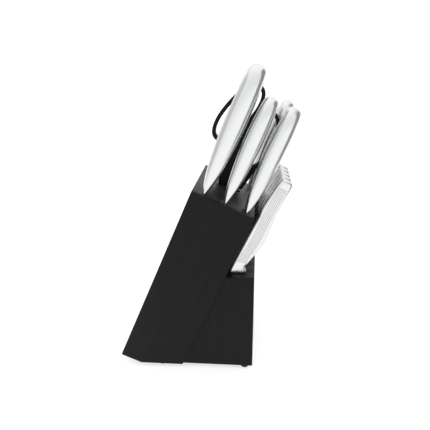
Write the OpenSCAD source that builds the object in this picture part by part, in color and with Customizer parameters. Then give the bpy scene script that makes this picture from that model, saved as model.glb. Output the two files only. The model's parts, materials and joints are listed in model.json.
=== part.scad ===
// Knife block: a leaning laminated block with a front wedge, four large knives,
// kitchen shears and five steak knives, each lifting out along its own slot.

/* [Block] */
// Width of the block from side to side
block_w = 126; // [122:1:155]
// Length of the leaning main block along its back edge
block_l = 215; // [200:1:260]
// Thickness of the main block across its lean
block_t = 69; // [68:1:84]
// Lean of the main block from upright, in degrees
tilt = 23.8; // [18:0.2:28]
// Height of the back lower corner above the underside
heel_h = 10; // [6:1:14]
// Thickness of each side panel
panel_t = 6; // [4:0.5:7]

/* [Wedge] */
// Height of the wedge's flat top above the underside
wedge_h = 111.5; // [100:0.5:135]
// Thickness of the wood in front of the steak knife slots at the wedge's top
wedge_front = 7.1; // [3:0.1:20]
// How far each side of the wedge sits in from the main block's side
wedge_inset = 2.7; // [1:0.1:5]
// Diameter of the dowels that join the wedge to the main block
dowel_d = 6; // [4:0.5:6]
// Length of the dowels
dowel_l = 26; // [18:1:32]
// Wood left between a dowel and the nearest slot
dowel_floor = 1.1; // [0.8:0.1:3]

/* [Slots] */
// Distance from the main block's back face to the first slot's centre
slot_edge = 12.6; // [10:0.1:14]
// Distance from the last large slot's centre to the main block's front face
slot_front = 9.2; // [8:0.1:13]
// Free space on each side of a blade in its slot
slot_gap = 0.6; // [0.4:0.1:1]
// Free space past a blade's edge in its slot
slot_end = 2; // [1:0.5:4]
// Wood left between the widest of the near slots and the shears' zone
zone_land = 4; // [1:0.5:6]
// Width of the zone that holds the shears' slot
shears_zone = 30; // [24:1:34]
// Length of the shears' slot across the main block
shears_slot_l = 26; // [24:1:32]
// How far the shears' slot stands forward of the middle row's centre
shears_shift = 2; // [0:0.5:4]
// Thickness of the shears' slot
shears_slot_t = 10; // [9:0.5:12]
// Distance between neighbouring steak knife slots
steak_pitch = 17.8; // [14.5:0.1:19]
// Distance from the main block's front face to the steak knives' spines
steak_lead = 1.2; // [0.8:0.1:3]

/* [Large knives] */
// Length of the chef's knife blade
chef_len = 198; // [150:1:203]
// Width of the chef's knife blade
chef_w = 46; // [34:1:56]
// Length of the carving knife blade
carving_len = 185; // [140:1:200]
// Width of the carving knife blade
carving_w = 32; // [24:1:40]
// Length of the utility knife blade
utility_len = 150; // [110:1:185]
// Width of the utility knife blade
utility_w = 27; // [24:1:36]
// Length of the paring knife blade
paring_len = 95; // [70:1:180]
// Width of the paring knife blade
paring_w = 18; // [17:0.5:22]
// Thickness of the large blades at the spine
blade_t = 2.4; // [1.8:0.1:3]
// Length of the chef's knife grip
chef_grip_l = 134.5; // [110:0.5:150]
// Thickness of the chef's knife grip
chef_grip_t = 22; // [16:0.5:26]
// Length of the other large grips
grip_l = 113.5; // [95:0.5:130]
// Thickness of the other large grips
grip_t = 19; // [14:0.5:22.5]
// Width of the large grips from spine to belly
grip_w = 25; // [21:0.5:30]

/* [Steak knives] */
// Length of a steak knife blade
steak_len = 108; // [80:1:112]
// Width of a steak knife blade
steak_w = 18.5; // [15.5:0.5:22]
// Thickness of a steak knife blade at the spine
steak_t = 1.6; // [1.4:0.1:2]
// Length of a steak knife grip along its spine
steak_grip_l = 119; // [95:1:130]
// Thickness of a steak knife grip
steak_grip_t = 12.5; // [9:0.5:13.5]

/* [Grips] */
// Wall thickness of the hollow grip shells
grip_wall = 1; // [0.8:0.1:1.4]
// Thickness of a tang inside its grip
tang_t = 1.6; // [1.2:0.1:1.8]
// Length of a tang inside its grip
tang_l = 34; // [20:1:50]
// Gap left between a grip and the face it stands over
rest_gap = 0.3; // [0.2:0.1:0.8]

/* [Shears] */
// Length of the shears' blades below the pivot
shears_blade_l = 84; // [70:1:95]
// Width of one shears blade at the pivot
shears_blade_w = 18; // [14:0.5:19]
// Thickness of one shears blade
shears_blade_t = 2.4; // [2:0.1:2.8]
// Depth of the pivot below the block's top face
pivot_depth = 20; // [16:1:26]
// Diameter of the pivot screw's shank
pivot_d = 5; // [4:0.5:6]
// Thickness of the shears' plastic handles
shears_grip_t = 9; // [8:0.5:9]
// Thickness of the bars that form the finger loops
loop_bar = 4.4; // [3.5:0.1:6]

/* [Feet] */
// How far the back feet stand behind the middle of their board
foot_back = 2; // [0:0.5:4]
// Height of the rubber feet
foot_h = 4.5; // [2.5:0.5:5.5]
// Diameter of the rubber feet
foot_d = 9; // [8:0.5:12]
// Diameter of the foot screws' shanks
screw_d = 2.4; // [2:0.1:3]
// Depth that a foot screw reaches into the wood
screw_l = 11; // [8:1:14]

/* [Hidden] */
$fn = 64;
near_slots = 3;         // slots in the row nearest the near side
steak_slots = 6;        // slots in the wedge
steak_count = 5;        // steak knives standing in them
large_knives = ["chef", "carving", "utility", "paring"];
fit = 0.05;             // clearance of dowels, screws and the pivot in their bores
grip_steps = [0, 0.03, 0.08, 0.16, 0.27, 0.4, 0.55, 0.7, 0.82, 0.9, 0.95, 0.98, 1];
arc_points = 8;         // points on each half outline of a grip's section

// Places across the width, measured from the near side
core_0 = panel_t;
core_1 = block_w - panel_t;
near_1 = core_0 + max(chef_w, carving_w, utility_w) + slot_end + zone_land;
far_0 = near_1 + shears_zone;
shears_y = (near_1 + far_0) / 2;
paring_slot_l = paring_w + slot_end;
wedge_y0 = wedge_inset;
wedge_y1 = block_w - wedge_inset;

// Places across the block's thickness and up its length
slot_t = blade_t + 2 * slot_gap;
slot_pitch = (block_t - slot_edge - slot_front) / (near_slots - 1);
shears_u = block_t / 2 + shears_shift;
shears_slot_u0 = shears_u - shears_slot_l / 2;
shears_slot_u1 = shears_u + shears_slot_l / 2;
heel_u = heel_h / sin(tilt);
steak_slot_t = steak_t + 2 * slot_gap;
steak_u = block_t + steak_lead;                // line of the steak knives' spines
steak_slot_u = steak_u + steak_w + slot_end;   // front end of the steak slots

function slot_u(i) = slot_edge + i * slot_pitch;
function steak_y(i) = block_w / 2 + (i - (steak_slots + 1) / 2) * steak_pitch;
// Lowest point along the length at a place across the thickness
function low_a(u) = max(0, (u * sin(tilt) - heel_h) / cos(tilt));
// Place along the length, at a place across the thickness, of a given height
function a_at(u, z) = (z + u * sin(tilt) - heel_h) / cos(tilt);
// Distance from the back corner of a point across the thickness at a given height
function x_at(u, z) = (u + (z - heel_h) * sin(tilt)) / cos(tilt);
wedge_x = x_at(steak_slot_u, wedge_h) + wedge_front;

// Feet, placed under whole boards of the main block and under the wedge's cheeks
cheek_y1 = steak_y(1) - steak_slot_t / 2;
foot_y = (wedge_y0 + cheek_y1) / 2;
foot_back_x = x_at((slot_u(1) + slot_u(2)) / 2 - foot_back, 0);
foot_front_x = wedge_x - foot_d;
screw_head_d = screw_d * 2;
screw_head_h = 1.2;
dowel_heights = [wedge_h * 0.24, wedge_h * 0.62];

// Sections of the grips
tang_w = 12;
tang_slot = tang_t / 2 + 0.4;                  // half opening round a tang
tip_half = tang_slot + 0.6;                    // half thickness of a grip's lower tip
large_e = 2.8;                                 // exponent of the large grips' rounded sections
steak_e = 4;                                   // exponent of the steak grips' sections
spine_lead = 1.75;                             // how far a large grip stands past its blade's spine
end_wall = 2.5;                                // thickness of a grip's closed end
low_wall = 1.6;                                // wall at the ends of the slot that a tang goes in by
drop_slope = tan(tilt);                        // slope of the wedge's top across a steak grip

// Slope of a curve through keys of [place, value] at key i
function key_slope(keys, i) =
    let (before = keys[max(i - 1, 0)], after = keys[min(i + 1, len(keys) - 1)])
    (after[1] - before[1]) / (after[0] - before[0]);
// Smooth curve through keys of [place, value]
function keyed(s, keys, i = 0) =
    s <= keys[i + 1][0] || i + 2 >= len(keys)
    ? let (span = keys[i + 1][0] - keys[i][0], t = (s - keys[i][0]) / span)
        (2 * pow(t, 3) - 3 * pow(t, 2) + 1) * keys[i][1]
        + (pow(t, 3) - 2 * pow(t, 2) + t) * span * key_slope(keys, i)
        + (3 * pow(t, 2) - 2 * pow(t, 3)) * keys[i + 1][1]
        + (pow(t, 3) - pow(t, 2)) * span * key_slope(keys, i + 1)
    : keyed(s, keys, i + 1);
function spow(v, e) = sign(v) * pow(abs(v), e);
function reversed(v) = [for (j = [len(v) - 1:-1:0]) v[j]];
// Half of a rounded section from its spine point to its belly point
function half_section(a, b, yc, e) = [
    for (j = [0:arc_points - 1])
        let (t = -90 + 180 * j / (arc_points - 1), flat = j == 0 || j == arc_points - 1)
        [flat ? 0 : a * spow(cos(t), 2 / e), yc + b * spow(sin(t), 2 / e)]
];

// Grip outlines at fraction s of the length: spine line, belly line, half thickness,
// and how much of the width is left where the end rounds off
function large_section(s, thick) = [
    -spine_lead,
    -spine_lead + keyed(s, [[0, grip_w - 3], [0.14, grip_w - 5], [0.45, grip_w], [0.75, grip_w - 1],
                            [1, grip_w - 2]]),
    max(tip_half, thick / 2 * sqrt(1 - pow(s, 60))
        * keyed(s, [[0, 0.16], [0.06, 0.4], [0.17, 0.66], [0.33, 0.85], [0.5, 0.98], [0.62, 1], [0.79, 0.95],
                    [0.9, 0.86], [1, 0.74]])),
    max(0.35, sqrt(1 - pow(s, 14)))
];
function steak_section(s, thick) = [
    keyed(s, [[0, 0], [0.4, 0.9], [0.61, 2.2], [0.79, 4], [1, 7.2]]),
    keyed(s, [[0, steak_w + 0.4], [0.09, steak_w - 3.2], [0.38, steak_w + 3.3], [0.68, steak_w + 1.6],
              [1, steak_w + 2.8]]),
    keyed(s, [[0, thick / 2 - 0.5], [0.12, thick / 2 - 0.7], [0.5, thick / 2], [0.85, thick / 2 - 0.3],
              [1, thick / 2 - 1]]),
    max(0.84, pow(1 - pow(s, 40), 0.25))
];
function grip_section(s, steak, thick) = steak ? steak_section(s, thick) : large_section(s, thick);

// Rings of half a grip shell: the outer half section, then the inner one backwards
function grip_rings(gl, thick, steak) = [
    for (s = grip_steps)
        let (
            g = grip_section(s, steak, thick),
            yc = (g[0] + g[1]) / 2,
            b = (g[1] - g[0]) / 2 * g[3],
            a = g[2],
            lowest = s == 0,
            ai = max(min(tang_slot, a - 0.6), lowest ? 0 : a - grip_wall),
            bi = b - (lowest ? low_wall : grip_wall),
            e = steak ? steak_e : large_e,
            drop = steak ? drop_slope * pow(1 - s, 3) : 0,
            z_in = min(s * gl, gl - end_wall)
        )
        concat(
            [for (p = half_section(a, b, yc, e)) [p[0], p[1], s * gl + drop * p[1]]],
            [for (p = reversed(half_section(ai, bi, yc, e))) [p[0], p[1], z_in + drop * p[1]]]
        )
];

// How far the knives reach forward, so that the part stands centred on its origin
function grip_reach(u, gl, thick, steak, base) = max([
    for (s = grip_steps)
        let (
            g = grip_section(s, steak, thick),
            far = steak ? (g[0] + g[1]) / 2 + (g[1] - g[0]) / 2 * g[3] : g[2],
            rise = s * gl + (steak ? drop_slope * pow(1 - s, 3) * far : 0)
        )
        (u + far) * cos(tilt) + (base + rise) * sin(tilt)
]);
steak_base = a_at(steak_u, wedge_h) + rest_gap;
reach_x = max(wedge_x,
    grip_reach(steak_u, steak_grip_l, steak_grip_t, true, steak_base),
    grip_reach(slot_u(2), grip_l, grip_t, false, block_l + rest_gap));

// Shears: places across the block and along its length, measured from the pivot
pivot_a = block_l - pivot_depth;
neck_a = pivot_depth + rest_gap;               // lower edge of the handles above the pivot
grip_half_t = shears_grip_t / 2;
leaf_gap = 0.1;                                // gap between the two halves' faces
loop_a = [-25, neck_a + 79.7, 16.5, 38, 18];   // large loop: place, place, half axes, lean
loop_b = [9.8, neck_a + 63.2, 15.2, 33.5, 0];  // small loop
shears_tang_w = 9;
shears_tang_l = pivot_depth + 24;

// Upright frame: x from the back lower corner, y from the near side, z from the underside
module upright() {
    translate([-reach_x / 2, -block_w / 2, foot_h]) children();
}

// Leaning frame: x across the main block's thickness, z along its length
module lean() {
    upright() translate([0, 0, heel_h]) rotate([0, tilt, 0]) children();
}

// Stands a flat outline up across the width between two places
module slab(y0, y1) {
    translate([0, y1, 0]) rotate([90, 0, 0]) linear_extrude(y1 - y0) children();
}

// Board of the main block between two places across its thickness
module board(u0, u1, y0, y1) {
    lean() slab(y0, y1) polygon(concat(
        [[u0, block_l], [u1, block_l], [u1, low_a(u1)]],
        u0 < heel_u && heel_u < u1 ? [[heel_u, 0]] : [],
        [[u0, low_a(u0)]]
    ));
}

// Side view of the wedge in front of a line across the block's thickness
module wedge_outline(u) {
    polygon([[x_at(u, 0), 0], [wedge_x, 0], [wedge_x, wedge_h], [x_at(u, wedge_h), wedge_h]]);
}

module wedge_board(y0, y1) {
    upright() slab(y0, y1) wedge_outline(block_t);
}

// Every dowel, as rods of a given radius and extra length
module dowel_rods(r, extra) {
    for (h = dowel_heights, y = [foot_y, block_w - foot_y])
        lean() translate([slot_u(2) + slot_t / 2 + dowel_floor - extra, y, a_at(block_t, h)])
            rotate([0, 90, 0]) cylinder(r = r, h = dowel_l + 2 * extra);
}

// Every foot's centre at the underside
module at_feet() {
    for (x = [foot_back_x, foot_front_x], y = [foot_y, block_w - foot_y])
        upright() translate([x, y, 0]) children();
}

module screw_bores() {
    at_feet() translate([0, 0, -foot_h]) cylinder(d = screw_d + 2 * fit, h = foot_h + screw_l + 1);
}

// ---- Main block ----
module side_panel_near() { color("#232323") board(0, block_t, 0, panel_t); }
module side_panel_far() { color("#232323") board(0, block_t, core_1, block_w); }

module near_back_board() {
    color("#2b2b2b") board(0, slot_u(0) - slot_t / 2, core_0, near_1);
}

module near_middle_board(i) {
    color("#2b2b2b") difference() {
        board(slot_u(i - 1) + slot_t / 2, slot_u(i) - slot_t / 2, core_0, near_1);
        screw_bores();
    }
}

module near_front_board() {
    color("#2b2b2b") difference() {
        board(slot_u(near_slots - 1) + slot_t / 2, block_t, core_0, near_1);
        dowel_rods(dowel_d / 2 + fit, 0.5);
    }
}

// Strips that close the slots past the blades' edges
module near_slot_spacers() {
    widths = [chef_w, carving_w, utility_w];
    color("#2b2b2b") for (i = [0:near_slots - 1])
        board(slot_u(i) - slot_t / 2, slot_u(i) + slot_t / 2, core_0 + widths[i] + slot_end, near_1);
}

module shears_near_board() {
    color("#2b2b2b") board(0, block_t, near_1, shears_y - shears_slot_t / 2);
}

module shears_far_board() {
    color("#2b2b2b") board(0, block_t, shears_y + shears_slot_t / 2, far_0);
}

module shears_slot_spacers() {
    y0 = shears_y - shears_slot_t / 2;
    y1 = shears_y + shears_slot_t / 2;
    color("#2b2b2b") {
        board(0, shears_slot_u0, y0, y1);
        board(shears_slot_u1, block_t, y0, y1);
    }
}

module far_back_board() {
    color("#2b2b2b") difference() {
        board(0, slot_u(2) - slot_t / 2, far_0, core_1);
        screw_bores();
    }
}

module far_front_board() {
    color("#2b2b2b") difference() {
        board(slot_u(2) + slot_t / 2, block_t, far_0, core_1);
        dowel_rods(dowel_d / 2 + fit, 0.5);
    }
}

module far_slot_spacer() {
    color("#2b2b2b") board(slot_u(2) - slot_t / 2, slot_u(2) + slot_t / 2, far_0, core_1 - paring_slot_l);
}

// ---- Wedge ----
module wedge_cheek(y0, y1) {
    color("#262626") difference() {
        wedge_board(y0, y1);
        dowel_rods(dowel_d / 2 + fit, 0.5);
        screw_bores();
    }
}

module wedge_divider(i) {
    color("#262626") wedge_board(steak_y(i) + steak_slot_t / 2, steak_y(i + 1) - steak_slot_t / 2);
}

// Strips that close the front of the steak slots
module wedge_slot_spacers() {
    color("#262626") for (i = [1:steak_slots])
        upright() slab(steak_y(i) - steak_slot_t / 2, steak_y(i) + steak_slot_t / 2)
            wedge_outline(steak_slot_u);
}

module wedge_dowels() { color("#c8a46a") dowel_rods(dowel_d / 2, 0); }

// ---- Feet ----
module foot(x, y) {
    color("#111111") upright() translate([x, y, -foot_h]) difference() {
        cylinder(d = foot_d, h = foot_h);
        translate([0, 0, -1]) cylinder(d = screw_d + 4 * fit, h = foot_h + 2);
        translate([0, 0, -1]) cylinder(d = screw_head_d + 4 * fit, h = foot_h / 2 + 1);
    }
}

module foot_screws() {
    color("#b8b8b8") at_feet() translate([0, 0, -foot_h / 2 - screw_head_h]) {
        cylinder(d = screw_head_d, h = screw_head_h);
        cylinder(d = screw_d, h = screw_head_h + foot_h / 2 + screw_l);
    }
}

// ---- Knives ----
// Knife frame: x is the thickness, y runs from spine to edge, z runs from tip to grip
module blade(bl, bw, bt, grip_low, drop) {
    steps = 12;
    tip = 0.28;     // how far across the blade its tip lies, from the spine
    heel = 12;      // length of the straight heel below the grip
    neck = min(bw, grip_low);
    spine = [for (i = [0:steps]) let (t = i / steps) [bw * tip * pow(t, 3), -bl * t]];
    edge = [for (i = [steps - 1:-1:0])
        let (t = i / steps) [bw * (1 - (1 - tip) * pow(t, 2.6)), -heel - (bl - heel) * t]];
    top = [[neck, rest_gap + drop * neck], [0, rest_gap]];
    intersection() {
        rotate([90, 0, 90]) linear_extrude(bt, center = true) polygon(concat(spine, edge, top));
        translate([0, 0, -bl - 1]) linear_extrude(bl + 20) polygon([
            [-bt / 2, -1], [bt / 2, -1],
            [bt / 2, bw * 0.3], [0.2, bw + 0.1],
            [-0.2, bw + 0.1], [-bt / 2, bw * 0.3]
        ]);
    }
}

module tang(yc) {
    translate([-tang_t / 2, yc - tang_w / 2, -4]) cube([tang_t, tang_w, tang_l + 4]);
}

module grip_half(gl, thick, steak) {
    rings = grip_rings(gl, thick, steak);
    m = arc_points;
    n = 2 * m;
    top = (len(rings) - 1) * n;
    faces = concat(
        [[for (j = [0:n - 1]) j]],
        [for (i = [0:len(rings) - 2], j = [0:n - 1])
            [i * n + j, (i + 1) * n + j, (i + 1) * n + (j + 1) % n, i * n + (j + 1) % n]],
        [[for (j = [m - 1:-1:0]) top + j]],
        [[for (j = [n - 1:-1:m]) top + j]],
        [[top + m - 1, top, top + n - 1, top + m]]
    );
    translate([0, 0, rest_gap]) polyhedron([for (r = rings, p = r) p], faces);
}

module at_large(name) {
    i = search([name], large_knives)[0];
    far = name == "paring";
    y = far ? core_1 - paring_slot_l + slot_end / 2 : core_0 + slot_end / 2;
    lean() translate([slot_u(far ? 2 : i), y, block_l]) children();
}

function large_size(name) =
    name == "chef" ? [chef_len, chef_w, chef_grip_l, chef_grip_t]
    : name == "carving" ? [carving_len, carving_w, grip_l, grip_t]
    : name == "utility" ? [utility_len, utility_w, grip_l, grip_t]
    : [paring_len, paring_w, grip_l, grip_t];

module large_blade(name) {
    size = large_size(name);
    low = large_section(0, size[3]);
    color("#d4d6d8") at_large(name) {
        blade(size[0], size[1], blade_t, low[1] - 1, 0);
        tang((low[0] + low[1]) / 2);
    }
}

module large_grip(name, side) {
    size = large_size(name);
    color("#e4e6e8") at_large(name) mirror([side == "left" ? 1 : 0, 0, 0]) grip_half(size[2], size[3], false);
}

module at_steak(i) {
    lean() translate([steak_u, steak_y(i), a_at(steak_u, wedge_h)]) rotate([0, 0, -90]) children();
}

module steak_blade(i) {
    low = steak_section(0, steak_grip_t);
    color("#d4d6d8") at_steak(i) {
        blade(steak_len, steak_w, steak_t, steak_w, drop_slope);
        tang((low[0] + low[1]) / 2 - 1.6);
    }
}

module steak_grip(i, side) {
    color("#e4e6e8") at_steak(i) mirror([side == "left" ? 1 : 0, 0, 0])
        grip_half(steak_grip_l, steak_grip_t, true);
}

// ---- Shears ----
// Shears frame: outlines lie in the plane of the blades, with the pivot at the origin
module at_shears(y0, y1) {
    lean() translate([shears_u, shears_y, pivot_a]) slab(y0, y1) children();
}

module oval(cx, cy, a, b, lean_deg) {
    translate([cx, cy]) rotate(-lean_deg)
        polygon([for (i = [0:47]) let (t = i * 7.5) [a * spow(cos(t), 0.9), b * spow(sin(t), 0.9)]]);
}

// One blade, its back on the front side for side 1 and on the back side for side -1
module shears_blade_outline(side) {
    steps = 8;
    half = shears_blade_w / 2;
    boss = 6;       // how far the full width reaches above and below the pivot
    polygon(concat(
        [[side * half, boss], [side * half, -boss]],
        [for (i = [1:steps])
            let (t = i / steps, width = half - (half - 1) * pow(t, 1.6))
            [side * width, -boss - (shears_blade_l - boss) * t]],
        [[-side * 1.5, -shears_blade_l], [-side * 4, -14]],
        [[-side * half * 0.8, -8], [-side * half * 0.8, boss]]
    ));
}

module shears_tang_outline(side) {
    polygon([
        [-shears_blade_w * 0.4, 0], [shears_blade_w * 0.4, 0], [side * 2 + shears_tang_w / 2, 12],
        [side * 4 + shears_tang_w / 2, shears_tang_l], [side * 4 - shears_tang_w / 2, shears_tang_l],
        [side * 2 - shears_tang_w / 2, 12]
    ]);
}

module shears_blade(side, y0, y1) {
    color("#c9ccce") difference() {
        union() {
            at_shears(y0, y1) shears_blade_outline(side);
            at_shears(y0, y1) shears_tang_outline(-side);
        }
        pivot_rod(pivot_d / 2 + fit, -grip_half_t, grip_half_t);
    }
}

module pivot_rod(r, y0, y1) {
    lean() translate([shears_u, shears_y + y1, pivot_a]) rotate([90, 0, 0]) cylinder(r = r, h = y1 - y0);
}

module shears_blade_a() { shears_blade(1, -leaf_gap / 2 - shears_blade_t, -leaf_gap / 2); }
module shears_blade_b() { shears_blade(-1, leaf_gap / 2, leaf_gap / 2 + shears_blade_t); }

// Necks that run from the block's top face up to the finger loops; the second one's lower
// edge rises to one side, which keeps it off the block as the shears open in their slot
module neck_a_outline() {
    polygon([[-14, neck_a], [10, neck_a], [10, neck_a + 10], [4, neck_a + 26], [-6.8, neck_a + 40],
             [-6.8, neck_a + 62], [-5.6, neck_a + 96], [-9.6, neck_a + 96], [-12, neck_a + 62],
             [-31, neck_a + 50], [-23, neck_a + 28]]);
}

module neck_b_outline() {
    polygon([[-10, neck_a + 0.4], [6, neck_a + 0.4], [13.5, neck_a + 2.6], [17, neck_a + 20],
             [22, neck_a + 46], [-4, neck_a + 46], [-6.5, neck_a + 20]]);
}

module shears_handle(loop, y0, y1, side) {
    color("#141416") difference() {
        union() {
            at_shears(-grip_half_t, grip_half_t) oval(loop[0], loop[1], loop[2], loop[3], loop[4]);
            at_shears(y0, y1) children();
        }
        at_shears(-grip_half_t - 1, grip_half_t + 1)
            oval(loop[0], loop[1], loop[2] - loop_bar, loop[3] - loop_bar, loop[4]);
        at_shears(side > 0 ? -leaf_gap / 2 - shears_blade_t : leaf_gap / 2 - 1,
                  side > 0 ? -leaf_gap / 2 + 1 : leaf_gap / 2 + shears_blade_t) shears_tang_outline(-side);
    }
}

module shears_handle_a() { shears_handle(loop_a, -grip_half_t, -leaf_gap / 2, 1) neck_a_outline(); }
module shears_handle_b() { shears_handle(loop_b, leaf_gap / 2, grip_half_t, -1) neck_b_outline(); }

module shears_pivot_screw() {
    color("#b8bbbd") {
        pivot_rod(pivot_d / 2, -leaf_gap / 2 - shears_blade_t - 1.5, leaf_gap / 2 + shears_blade_t + 1.5);
        pivot_rod(pivot_d * 0.9, -leaf_gap / 2 - shears_blade_t - 1.5, -leaf_gap / 2 - shears_blade_t);
    }
}

module shears_pivot_nut() {
    color("#b8bbbd") difference() {
        pivot_rod(pivot_d * 0.9, leaf_gap / 2 + shears_blade_t + fit, leaf_gap / 2 + shears_blade_t + 1.5);
        pivot_rod(pivot_d / 2 + fit, 0, grip_half_t);
    }
}

side_panel_near();
side_panel_far();
near_back_board();
near_middle_board(1);  // near_middle_board_1
near_middle_board(2);  // near_middle_board_2
near_front_board();
near_slot_spacers();
shears_near_board();
shears_far_board();
shears_slot_spacers();
far_back_board();
far_front_board();
far_slot_spacer();
wedge_cheek(wedge_y0, cheek_y1);  // wedge_near_cheek
wedge_cheek(block_w - cheek_y1, wedge_y1);  // wedge_far_cheek
for (i = [1:steak_slots - 1])
    wedge_divider(i);
wedge_slot_spacers();
wedge_dowels();
foot(foot_back_x, foot_y);  // foot_back_near
foot(foot_back_x, block_w - foot_y);  // foot_back_far
foot(foot_front_x, foot_y);  // foot_front_near
foot(foot_front_x, block_w - foot_y);  // foot_front_far
foot_screws();
for (name = large_knives) {
    large_blade(name);
    large_grip(name, "left");
    large_grip(name, "right");
}
for (i = [1:steak_count]) {
    steak_blade(i);
    steak_grip(i, "left");
    steak_grip(i, "right");
}
shears_blade_a();
shears_handle_a();
shears_blade_b();
shears_handle_b();
shears_pivot_screw();
shears_pivot_nut();
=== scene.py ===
"""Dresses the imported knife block: satin black boards, hollow dimpled grips, ground blades and shears.
"""
import json
import logging
import math
from dataclasses import dataclass, field
from enum import Enum

import bmesh
import bpy
import numpy as np
from mathutils import Matrix, Vector


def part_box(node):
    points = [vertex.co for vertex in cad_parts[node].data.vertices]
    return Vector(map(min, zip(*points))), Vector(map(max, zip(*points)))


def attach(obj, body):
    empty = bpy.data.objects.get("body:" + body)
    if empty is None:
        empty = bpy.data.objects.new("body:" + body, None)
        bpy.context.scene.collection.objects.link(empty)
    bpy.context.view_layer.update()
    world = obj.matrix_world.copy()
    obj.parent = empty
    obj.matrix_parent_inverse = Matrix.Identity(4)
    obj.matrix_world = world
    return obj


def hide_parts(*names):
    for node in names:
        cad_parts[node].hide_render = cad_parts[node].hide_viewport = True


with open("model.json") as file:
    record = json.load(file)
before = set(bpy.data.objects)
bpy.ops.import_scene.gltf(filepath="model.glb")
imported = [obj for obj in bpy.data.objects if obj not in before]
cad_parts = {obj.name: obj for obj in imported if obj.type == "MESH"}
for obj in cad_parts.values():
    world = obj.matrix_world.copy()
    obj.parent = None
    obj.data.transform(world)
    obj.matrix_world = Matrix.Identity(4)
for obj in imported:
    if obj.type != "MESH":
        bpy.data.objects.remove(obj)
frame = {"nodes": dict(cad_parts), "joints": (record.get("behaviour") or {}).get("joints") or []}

LOG = logging.getLogger("knife_block")
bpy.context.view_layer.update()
MM = 0.001
MERGE = 0.000005
Key = tuple[float, float]
Place3 = tuple[float, float, float]


class Tone(Enum):
    """Named colours of the object's finishes, linear RGB."""

    STAIN_DARK = (0.0042, 0.0042, 0.0045)
    STAIN_LIGHT = (0.0105, 0.0104, 0.0105)
    STEEL = (0.76, 0.765, 0.765)
    STEEL_SHADE = (0.68, 0.685, 0.69)
    DIMPLE = (0.34, 0.345, 0.355)
    DIMPLE_SHADE = (0.22, 0.225, 0.235)
    BLADE = (0.70, 0.705, 0.715)
    BLADE_SHADE = (0.56, 0.565, 0.575)
    PLASTIC = (0.0045, 0.0046, 0.0058)
    PLASTIC_WORN = (0.007, 0.007, 0.0085)
    RUBBER = (0.008, 0.008, 0.008)
    RUBBER_DUST = (0.028, 0.027, 0.026)
    ZINC = (0.52, 0.525, 0.54)
    BEECH_DARK = (0.38, 0.22, 0.10)
    BEECH_LIGHT = (0.62, 0.42, 0.23)


class Side(Enum):
    """Which half of a knife grip a shell covers, as a sign of its thickness axis."""

    LEFT = -1
    RIGHT = 1


# ---------------------------------------------------------------- places


@dataclass(frozen=True)
class Places:
    """Driving sizes of the block and the frames that its pieces stand in, in millimetres."""

    block_l: float = 215.0
    block_t: float = 69.0
    heel_h: float = 10.0
    panel_t: float = 6.0
    slot_edge: float = 12.6
    slot_front: float = 9.2
    slot_end: float = 2.0
    near_slots: int = 3
    wedge_h: float = 111.5
    steak_pitch: float = 17.8
    steak_slots: int = 6
    steak_lead: float = 1.2
    rest_gap: float = 0.3

    @property
    def tilt(self) -> float:
        """Lean of the main block from upright, in radians, from the slides' own axis."""
        axis = frame["joints"][0]["axis"]
        return math.atan2(axis[0], axis[2])

    @property
    def corner(self) -> Vector:
        """Near, lower back corner of the main block's outline, at the underside, in metres."""
        return Vector(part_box("side_panel_near")[0])

    @property
    def width(self) -> float:
        """Width of the block, in millimetres."""
        return (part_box("side_panel_far")[1][1] - self.corner.y) / MM

    @property
    def slot_pitch(self) -> float:
        """Distance between neighbouring large slots, in millimetres."""
        return (self.block_t - self.slot_edge - self.slot_front) / (self.near_slots - 1)

    @property
    def lean(self) -> Matrix:
        """Leaning frame: x across the block's thickness, y across its width, z along its length."""
        place = self.corner + Vector((0, 0, self.heel_h * MM))
        return Matrix.Translation(place) @ Matrix.Rotation(self.tilt, 4, "Y") @ Matrix.Scale(MM, 4)

    def along(self, across: float, height: float) -> float:
        """Place along the length of a point on a line across the thickness at a given height.

        Args:
            across: Distance across the block's thickness, in millimetres.
            height: Height above the underside, in millimetres.

        Returns:
            Distance along the block's length, in millimetres.
        """
        return (height + across * math.sin(self.tilt) - self.heel_h) / math.cos(self.tilt)

    def large_knife(self, slot: int, from_near: float) -> Matrix:
        """Frame of a large knife: x is its thickness, y runs from spine to edge, z up the grip.

        Args:
            slot: Index of the slot across the block's thickness.
            from_near: Distance of the blade's spine from the near side, in millimetres.

        Returns:
            Matrix from the knife's millimetres to the row frame.
        """
        across = self.slot_edge + slot * self.slot_pitch
        return self.lean @ Matrix.Translation((across, from_near, self.block_l))

    def steak_knife(self, index: int) -> Matrix:
        """Frame of a steak knife, counted from 1 at the near side.

        Args:
            index: The knife's number.

        Returns:
            Matrix from the knife's millimetres to the row frame.
        """
        across = self.block_t + self.steak_lead
        place = (
            across,
            self.width / 2 + (index - (self.steak_slots + 1) / 2) * self.steak_pitch,
            self.along(across, self.wedge_h),
        )
        return self.lean @ Matrix.Translation(place) @ Matrix.Rotation(-math.pi / 2, 4, "Z")


PLACES = Places()


# ---------------------------------------------------------------- shader groups


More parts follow.
